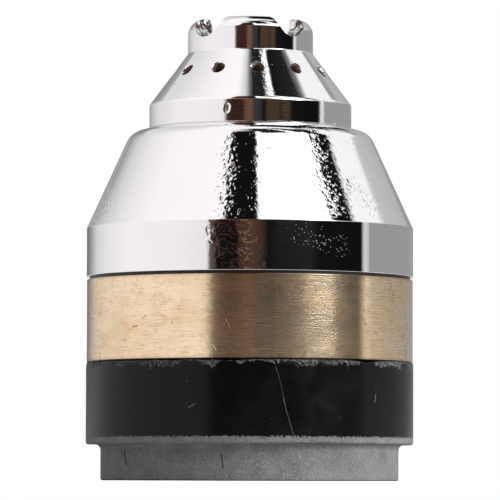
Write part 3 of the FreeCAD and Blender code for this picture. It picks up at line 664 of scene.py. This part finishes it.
CHROME_SHELL = chrome_shell()
CHROME_SHIELD = chrome_shield()
CHROME_GROOVE = chrome_groove()
VENT_WALL = vent_wall()
BRASS_TURNED = brass()
INSULATOR = insulator()
COPPER = copper()
BUSH_PLASTIC = bush_plastic()
RUBBER = rubber()
EMITTER = emitter_metal()


# Crown shield

def make_crown_shield():
    cavity_top = NOSE_TOP - RECESS_DEPTH - SHIELD_FLOOR
    wall = SHIELD_WALL / math.cos(SHIELD_ANGLE)
    cavity_radius = SHIELD_RADIUS - wall - (cavity_top - CONE_BOTTOM) * SHIELD_SLOPE
    bore_top = CONE_BOTTOM + (SHIELD_RADIUS - wall - SHANK_BORE) / SHIELD_SLOPE
    pilot_top = SHANK_END + PILOT_LENGTH
    groove_low = SHANK_END + SEAL_LAND
    groove_high = groove_low + SEAL_GROOVE
    groove_floor = 11.6
    seam = 0.15
    outline = rounded([
        (SHANK_BORE, SHANK_END, 0),
        (PILOT_RADIUS, SHANK_END, 0.1),
        (PILOT_RADIUS, groove_low, 0),
        (groove_floor, groove_low, 0),
        (groove_floor, groove_high, 0),
        (PILOT_RADIUS, groove_high, 0),
        (PILOT_RADIUS, pilot_top, 0),
        (SHANK_RADIUS, pilot_top, 0),
        (SHANK_RADIUS, SHELL_TOP, 0),
        (SHIELD_RADIUS - seam, SHELL_TOP, 0),
        (SHIELD_RADIUS, SHELL_TOP + seam, 0),
        (SHIELD_RADIUS, CONE_BOTTOM, 0.9),
        (NOSE_RADIUS, CONE_TOP, 0.3),
        (NOSE_RADIUS, NOSE_TOP, NOSE_ROUND),
        (RECESS_RADIUS, NOSE_TOP, 0.4),
        (RECESS_RADIUS, NOSE_TOP - RECESS_DEPTH, 0.2),
        (ORIFICE_RADIUS, NOSE_TOP - RECESS_DEPTH, 0.4),
        (ORIFICE_RADIUS, cavity_top, 0.1),
        (cavity_radius, cavity_top, 0),
        (SHANK_BORE, bore_top, 0),
    ], 5.0)

    def lobes(r, z, angle):
        """The rounding of the lobe towards the front starts at a slight edge."""
        start = NOSE_TOP - NOSE_ROUND
        slack, row_below = 0.001, 0.06
        in_front = GROOVE_ANGLES[3] <= math.degrees(angle) % 360 <= GROOVE_ANGLES[3] + 90
        if not in_front or z < start - row_below or r < NOSE_RADIUS - NOSE_ROUND - slack:
            return r, z
        first = math.radians(22)
        across, up, under = 2.37, 2.6, 0.03
        if z < start - slack:
            return r, NOSE_TOP - up * (1 - math.sin(first)) - under
        bend = math.atan2(max(0.0, z - start), max(0.0, r - NOSE_RADIUS + NOSE_ROUND))
        bend = first + bend * (1 - first / (math.pi / 2))
        radius = NOSE_RADIUS - across * (math.cos(first) - math.cos(bend))
        return radius, NOSE_TOP - up * (1 - math.sin(bend))

    obj = lathe("crown_shield_visual", supported(outline), 288, lobes)
    obj.data.materials.append(CHROME_SHIELD)
    cutters = []
    groove_reach = NOSE_RADIUS + 1.0
    groove_axis = NOSE_TOP - 0.1
    for index, angle in enumerate(GROOVE_ANGLES):
        cutter = rod(f"groove_cutter_{index}", GROOVE_RADIUS, groove_reach, 72, 44, roughen=0.14)
        cutter.data.materials.append(CHROME_GROOVE)
        turn = Matrix.Rotation(math.radians(angle), 4, "Z") @ Matrix.Rotation(math.radians(90), 4, "Y")
        cutter.matrix_world = Matrix.Translation((0, 0, groove_axis * MM)) @ turn
        cutters.append(cutter)
    height = CONE_BOTTOM + VENT_RISE
    radius = SHIELD_RADIUS - VENT_RISE * SHIELD_SLOPE
    centre, hole, mouth = 0.0001, 1.0, 1.2
    deep, flare_low, flare_high, outside = -3.6, -0.16, 0.04, 3.0
    drill = [(centre, deep), (hole, deep), (hole, flare_low), (mouth, flare_high), (mouth, outside),
             (centre, outside)]
    for index, angle in enumerate(VENT_ANGLES):
        cutter = lathe(f"vent_cutter_{index}", drill, 40)
        cutter.data.materials.append(VENT_WALL)
        cutter.data.materials.append(CHROME_SHIELD)
        for face in cutter.data.polygons:
            if flare_low * MM < face.center.z < flare_high * MM:
                face.material_index = 1
        tilt = Matrix.Rotation(math.radians(90) - SHIELD_ANGLE, 4, "Y")
        start = Matrix.Translation((radius * MM, 0, height * MM)) @ tilt
        cutter.matrix_world = Matrix.Rotation(math.radians(angle), 4, "Z") @ start
        cutters.append(cutter)
    subtract(obj, cutters)
    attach(obj, "root")
    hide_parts("crown_shield")


# Conical shell

def make_cap_shell():
    slope = math.tan(SHELL_ANGLE)
    shoulder = 2.89
    shoulder_radius = SHIELD_RADIUS + shoulder
    shoulder_height = SHELL_CORNER + (SHELL_RADIUS - shoulder_radius) / slope
    wall = SHELL_WALL / math.cos(SHELL_ANGLE)
    inner_low = SHELL_CORNER + (SHELL_RADIUS - wall - SHELL_BORE) / slope
    ledge_gap = 0.3
    ledge = SHELL_TOP - SHANK_LENGTH - ledge_gap
    ledge_radius = SHELL_BORE - (ledge - inner_low) * slope
    thread_low = SHELL_TOP - SHANK_LENGTH + PILOT_LENGTH - THREAD_GAP
    thread_radius = SHANK_RADIUS + THREAD_GAP
    pilot_bore = PILOT_RADIUS + THREAD_GAP
    outline = rounded([
        (SHELL_BORE, SHELL_BOTTOM, 0.15),
        (SHELL_RADIUS, SHELL_BOTTOM, 0.13),
        (SHELL_RADIUS, SHELL_CORNER, 0.2),
        (shoulder_radius, shoulder_height, 3.0),
        (SHIELD_RADIUS, SHELL_TOP, 0),
        (thread_radius, SHELL_TOP, 0),
        (thread_radius, thread_low, 0),
        (pilot_bore, thread_low, 0),
        (pilot_bore, ledge, 0),
        (ledge_radius, ledge, 0),
        (SHELL_BORE, inner_low, 0),
    ], 4.0)
    obj = lathe("cap_shell_visual", supported(outline), 360)
    obj.data.materials.append(CHROME_SHELL)
    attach(obj, "root")
    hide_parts("cap_shell")


# Insulator sleeve, chipped at its edges

def chip_depth(angle, seed):
    """How far an edge is broken back at this angle, in millimetres."""
    spread = 9.0
    place = Vector((math.cos(angle) * spread, math.sin(angle) * spread, seed))
    broad = max(0.0, noise.noise(place * 0.55) + 0.15)
    fine = noise.noise(place * 2.2) + 0.6 * noise.noise(place * 5.5)
    return max(0.0, broad * 0.35 + 0.1 * fine)


def make_insulator_sleeve():
    bore = SLEEVE_RADIUS + SLEEVE_GAP
    top_reach, low_reach = 0.7, 0.6
    top_rim, low_rim = bore + 1.5, FOOT_RADIUS + 1.2

    def shape(radius, height, angle):
        """Chip the collar's top and bottom rims."""
        if height > COLLAR_TOP - top_reach and radius > top_rim:
            close = (height - COLLAR_TOP + top_reach) / top_reach
            return radius - 0.8 * chip_depth(angle, 1.0) * close, height - chip_depth(angle, 7.0) * close
        if FOOT_HEIGHT - 0.01 < height < FOOT_HEIGHT + low_reach and radius > low_rim:
            close = 1 - (height - FOOT_HEIGHT) / low_reach
            back = 0.5 * chip_depth(angle, 13.0) * close
            return radius - back, height + 0.4 * chip_depth(angle, 17.0) * close
        return radius, height

    outline = rounded([
        (bore, 0, 0.2),
        (FOOT_RADIUS, 0, 0.35),
        (FOOT_RADIUS, FOOT_HEIGHT, 0.9),
        (COLLAR_RADIUS, FOOT_HEIGHT, 0.4),
        (COLLAR_RADIUS, COLLAR_TOP, 0.3),
        (bore, COLLAR_TOP, 0),
    ])
    obj = lathe("insulator_sleeve_visual", supported(outline, 0.05, 0.5), 640, shape)
    obj.data.materials.append(INSULATOR)
    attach(obj, "root")
    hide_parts("insulator_sleeve")


# Brass body with its threaded socket

def make_brass_body():
    rear = BRASS[0][2]
    socket = 18.19
    socket_top = rear + 23.0
    thread_top = rear + 15.5
    pitch = 1.5
    thread_depth = 0.8
    shoulder = BAND_TOP + 6.85
    band_low = COLLAR_TOP
    seal_low = socket_top - 2.6
    groove_low = BAND_TOP + SEAL_LAND
    groove_high = groove_low + SEAL_GROOVE
    groove_floor = 18.95
    spigot = 20.0
    neck = 15.2
    stack = 13.6
    lip, lip_thickness = 11.6, 2.5
    seal_floor, seal_width = 19.29, 2.0
    relief, relief_width = 19.09, 1.6
    mouth, fade_length = 0.8, 0.6
    outline = rounded([
        (socket + mouth, rear, 0),
        (SLEEVE_RADIUS, rear, 0.15),
        (SLEEVE_RADIUS, band_low, 0),
        (BAND_RADIUS, band_low, 0),
        (BAND_RADIUS, BAND_TOP, 0.1),
        (spigot, BAND_TOP, 0),
        (spigot, groove_low, 0),
        (groove_floor, groove_low, 0),
        (groove_floor, groove_high, 0),
        (spigot, groove_high, 0),
        (spigot, shoulder, 0),
        (neck, shoulder, 0),
        (neck, NECK_TOP, 0),
        (lip, NECK_TOP, 0),
        (lip, NECK_TOP - lip_thickness, 0),
        (stack, NECK_TOP - lip_thickness, 0),
        (stack, socket_top, 0.3),
        (socket, socket_top, 0.1),
        (socket, seal_low + seal_width, 0),
        (seal_floor, seal_low + seal_width, 0),
        (seal_floor, seal_low, 0),
        (socket, seal_low, 0.1),
        (socket, thread_top + relief_width, 0.1),
        (relief, thread_top + relief_width, 0),
        (relief, thread_top, 0),
        (socket, thread_top, 0),
        (socket, rear + mouth, 0),
    ])
    points = []
    count = len(outline)
    for index, point in enumerate(outline):
        following = outline[(index + 1) % count]
        points.append(point)
        if point == (socket, thread_top):
            rows = round((thread_top - rear - mouth) / (pitch / 8))
            step = (following[1] - point[1]) / rows
            points += [(socket, point[1] + step * row) for row in range(1, rows)]
    points = supported(points)

    def shape(radius, height, angle):
        """Cut the socket's thread, which fades in and out at its ends."""
        if radius != socket or not rear + mouth < height < thread_top:
            return radius, height
        turns = height / pitch - angle / (2 * math.pi)
        depth = 1 - abs(2 * (turns % 1) - 1)
        fade = min(1, (height - rear - mouth) / fade_length, (thread_top - height) / fade_length)
        return radius + thread_depth * min(1, max(0, 1.5 * depth - 0.2)) * fade, height

    obj = lathe("brass_body_visual", points, 256, shape)
    obj.data.materials.append(BRASS_TURNED)
    cutters = []
    gas_holes, gas_hole, gas_circle, gas_depth = 8, 1.1, 16.6, 16.0
    gas_start = socket_top - 1.0
    for index in range(gas_holes):
        cutter = rod(f"gas_cutter_{index}", gas_hole, gas_depth, 24)
        cutter.data.materials.append(BRASS_TURNED)
        angle = 2 * math.pi * index / gas_holes
        x, y = gas_circle * math.cos(angle), gas_circle * math.sin(angle)
        cutter.matrix_world = Matrix.Translation((x * MM, y * MM, gas_start * MM))
        cutters.append(cutter)
    subtract(obj, cutters)
    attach(obj, "root")
    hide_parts("brass_body")


make_crown_shield()
make_cap_shell()
make_insulator_sleeve()
make_brass_body()

FINISHES = {
    "insulating_bush": BUSH_PLASTIC,
    "gas_distributor": BUSH_PLASTIC,
    "swirl_ring": BUSH_PLASTIC,
    "nozzle": COPPER,
    "electrode": COPPER,
    "electrode_insert": EMITTER,
}
for name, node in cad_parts.items():
    if name in FINISHES or name.endswith("o_ring"):
        finish = FINISHES.get(name, RUBBER)
        for index in range(len(node.data.materials)):
            node.data.materials[index] = finish
        if not node.data.materials:
            node.data.materials.append(finish)


# Studio

def grey(value):
    return (value, value, value)


def blush(value):
    return (value, value * 0.955, value * 0.965)


BRIGHT = grey(1.6)
BLACK = (0.006, 0.006, 0.0065)
WALL = (0.355, 0.355, 0.36)
UMBER = (0.055, 0.024, 0.018)
TAN = (0.2, 0.105, 0.062)
BROWN = (0.085, 0.052, 0.03)
SLATE = (0.041, 0.043, 0.055)

# What stands round the part, ring over ring, as (azimuth from the front, colour)

# Up to 4 degrees above the floor
LOWEST = [
    (-180, grey(0.12)), (-160, grey(0.22)), (-150, grey(0.38)), (-137, grey(0.75)), (-120, grey(0.92)),
    (-95, blush(1.06)), (-50, blush(1.03)), (-30, blush(0.95)), (-28, (0.13, 0.10, 0.085)),
    (-25, (0.10, 0.07, 0.06)), (-23, BLACK), (-9, BLACK), (-7, (0.065, 0.03, 0.02)),
    (2, (0.085, 0.045, 0.03)), (8, (0.06, 0.03, 0.02)), (12, BLACK), (18, grey(0.012)), (42, grey(0.018)),
    (50, BLACK), (85, BLACK), (87, grey(0.7)), (90.5, grey(0.7)), (93, WALL), (180, WALL),
]

# From there to 13 degrees
LOW = [
    (-180, grey(0.2)), (-150, grey(0.6)), (-130, grey(0.82)), (-113, blush(0.9)), (-89, blush(1.03)),
    (-29, blush(1.03)), (-27.5, UMBER), (-8, UMBER), (-5, TAN), (2, TAN), (3.2, SLATE), (13, SLATE),
    (14, BLACK), (17, BLACK), (18, BROWN), (33, BROWN), (34.5, BLACK), (36.5, BROWN), (45, BROWN),
    (47, BLACK), (85.5, BLACK), (87.5, grey(0.95)), (91, grey(0.95)), (93.5, WALL), (180, WALL),
]

# To 29 degrees, with the bright panel that the turned brass draws out into a light band
MIDDLE = [
    (-180, grey(0.2)), (-155, grey(0.35)), (-135, grey(0.75)), (-125, grey(0.84)), (-110, blush(1.0)),
    (-90, blush(1.12)), (-26, blush(1.14)), (-22, (0.5, 0.2, 0.11)), (-13, (0.45, 0.16, 0.085)),
    (-2, (0.2, 0.085, 0.055)), (8, grey(0.1)), (22, grey(0.4)), (36, grey(2.2)), (46, grey(8.5)),
    (53, grey(12.0)), (60, grey(12.0)), (65, grey(2.3)), (78, grey(1.2)), (84, grey(0.6)), (88, grey(0.8)),
    (112, grey(1.0)), (122, grey(0.62)), (180, grey(0.4)),
]

# Above that, up to the highest panels
UPPER = [
    (-180, grey(0.7)), (-150, grey(0.78)), (-130, grey(0.84)), (-110, blush(1.0)), (-90, blush(1.12)),
    (-25, blush(1.17)), (-22, BLACK), (6, BLACK), (9, BRIGHT), (71, BRIGHT), (75.5, BLACK), (90, BLACK),
    (94, grey(1.1)), (137, grey(1.05)), (139, WALL), (180, grey(0.7)),
]

# The highest panels, under the ceiling
HIGH = [
    (-180, grey(0.8)), (-125, grey(0.86)), (-103, blush(1.05)), (-80, blush(1.14)), (-42, blush(1.17)),
    (-18, grey(0.75)), (-3, grey(0.2)), (8, grey(0.02)), (51, grey(0.015)), (54, BRIGHT), (63, BRIGHT),
    (66, BLACK), (99, grey(0.02)), (111, grey(0.4)), (124, grey(1.05)), (145, grey(0.68)),
    (155, grey(0.8)), (180, grey(0.8)),
]


def make_world():
    world = bpy.data.worlds.new("studio")
    world.use_nodes = True
    bpy.context.scene.world = world
    g = Graph(world.node_tree)
    x, y, z = g.split(g.put("ShaderNodeTexCoord").outputs["Generated"])
    azimuth = g.math("DEGREES", g.math("ARCTAN2", x, g.math("MULTIPLY", y, -1.0)))
    elevation = g.math("DEGREES", g.math("ARCSINE", z))
    turn = g.math("MULTIPLY_ADD", azimuth, 1 / 360, 0.5)

    def all_round(stops):
        return g.ramp(turn, [((angle + 180) / 360, colour) for angle, colour in stops])

    colour = all_round(LOWEST)
    for low, soft, stops in ((4.2, 0.5, LOW), (13, 1.5, MIDDLE), (29, 1.5, UPPER)):
        colour = g.mix(g.ramp_range(elevation, low - soft, low + soft), colour, all_round(stops))
    # The highest panels start 8 degrees higher in front and to the left
    start = g.ramp_range(azimuth, 10, 18, 63, 55)
    above = g.math("SUBTRACT", elevation, start)
    colour = g.mix(g.ramp_range(above, -2, 2), colour, all_round(HIGH))
    # Over the top and a little behind, a narrow dark gap between bright panels
    over = g.math("DEGREES", g.math("ARCTAN2", z, g.math("MULTIPLY", y, -1.0)))
    line = g.math("MULTIPLY", g.band(over, 116, 146, 2.0), g.ramp_range(elevation, 47, 51))
    wider = g.math("MULTIPLY", g.band(over, 102, 148, 2.0), g.ramp_range(x, 0.36, 0.33))
    line = g.math("MAXIMUM", line, wider)
    line = g.math("MULTIPLY", line, g.ramp_range(x, -0.05, 0.01))
    ceiling = g.mix(g.ramp_range(x, -0.04, 0.04), blush(1.15), grey(1.2))
    colour = g.mix(g.ramp_range(elevation, 81, 85), colour, ceiling)
    behind = g.math("MULTIPLY", g.ramp_range(over, 90, 94), g.ramp_range(elevation, 66, 70))
    colour = g.mix(behind, colour, ceiling)
    colour = g.mix(line, colour, BLACK)
    back = g.put("ShaderNodeBackground")
    g.feed(back.inputs["Color"], colour)
    plain = g.put("ShaderNodeBackground")
    plain.inputs["Color"].default_value = (1, 1, 1, 1)
    choose = g.put("ShaderNodeMixShader")
    g.feed(choose.inputs[0], g.put("ShaderNodeLightPath").outputs["Is Camera Ray"])
    g.tree.links.new(back.outputs[0], choose.inputs[1])
    g.tree.links.new(plain.outputs[0], choose.inputs[2])
    out = g.put("ShaderNodeOutputWorld")
    g.tree.links.new(choose.outputs[0], out.inputs["Surface"])


def make_floor():
    reach = 12.0
    corners = [(-reach, -reach, 0), (reach, -reach, 0), (reach, reach, 0), (-reach, reach, 0)]
    floor = add_mesh("floor", corners, [(0, 1, 2, 3)])
    made, g = material("floor_white")
    seen = g.put("ShaderNodeLightPath").outputs["Is Camera Ray"]
    x, y = g.split(g.put("ShaderNodeNewGeometry").outputs["Position"])[:2]
    bearing = g.math("DEGREES", g.math("ARCTAN2", x, g.math("MULTIPLY", y, -1.0)))
    distance = g.math("SQRT", g.math("MULTIPLY_ADD", x, x, g.math("MULTIPLY", y, y)))
    # The side of the room that has no lamp, for all but the camera: dark, and dim further round
    dim = g.math("MULTIPLY", g.band(bearing, 86, 150, 1.5), 0.35)
    unlit = g.math("MAXIMUM", g.band(bearing, -27, 86, 1.5), dim)
    unlit = g.math("MULTIPLY", unlit, g.ramp_range(distance, 0.1, 0.14))
    unlit = g.math("MULTIPLY", unlit, g.math("SUBTRACT", 1.0, seen))
    g.shader(
        Base_Color=g.mix(unlit, (0.9, 0.9, 0.9), (0.1, 0.09, 0.085)),
        Roughness=0.9,
        Specular_IOR_Level=0.0,
        Emission_Color=(1.0, 1.0, 1.0),
        Emission_Strength=g.math("MULTIPLY", seen, 0.35),
    )
    floor.data.materials.append(made)


def make_right_fill():
    place = Vector((0.61, -0.22, 0.12))
    target = Vector((0, 0, 0.02))
    lamp = bpy.data.lights.new("right_fill", "AREA")
    lamp.size = 0.35
    lamp.energy = 8.5
    obj = bpy.data.objects.new("right_fill", lamp)
    bpy.context.scene.collection.objects.link(obj)
    obj.location = place
    obj.rotation_euler = (target - place).to_track_quat("-Z", "Y").to_euler()
    obj.visible_glossy = False


def make_camera():
    distance, height = 0.660, 0.0003
    pitch, roll = math.radians(3.09), math.radians(0.16)
    camera = bpy.data.cameras.new("camera")
    camera.sensor_width = 36.0
    camera.lens = 305.35
    obj = bpy.data.objects.new("camera", camera)
    bpy.context.scene.collection.objects.link(obj)
    raised = Matrix.Rotation(math.radians(90) + pitch, 4, "X")
    rolled = Matrix.Rotation(roll, 4, "Z")
    obj.matrix_world = Matrix.Translation((0.0, -distance, height)) @ raised @ rolled
    bpy.context.scene.camera = obj


make_world()
make_floor()
make_right_fill()
make_camera()
bpy.context.scene.view_settings.view_transform = "Standard"
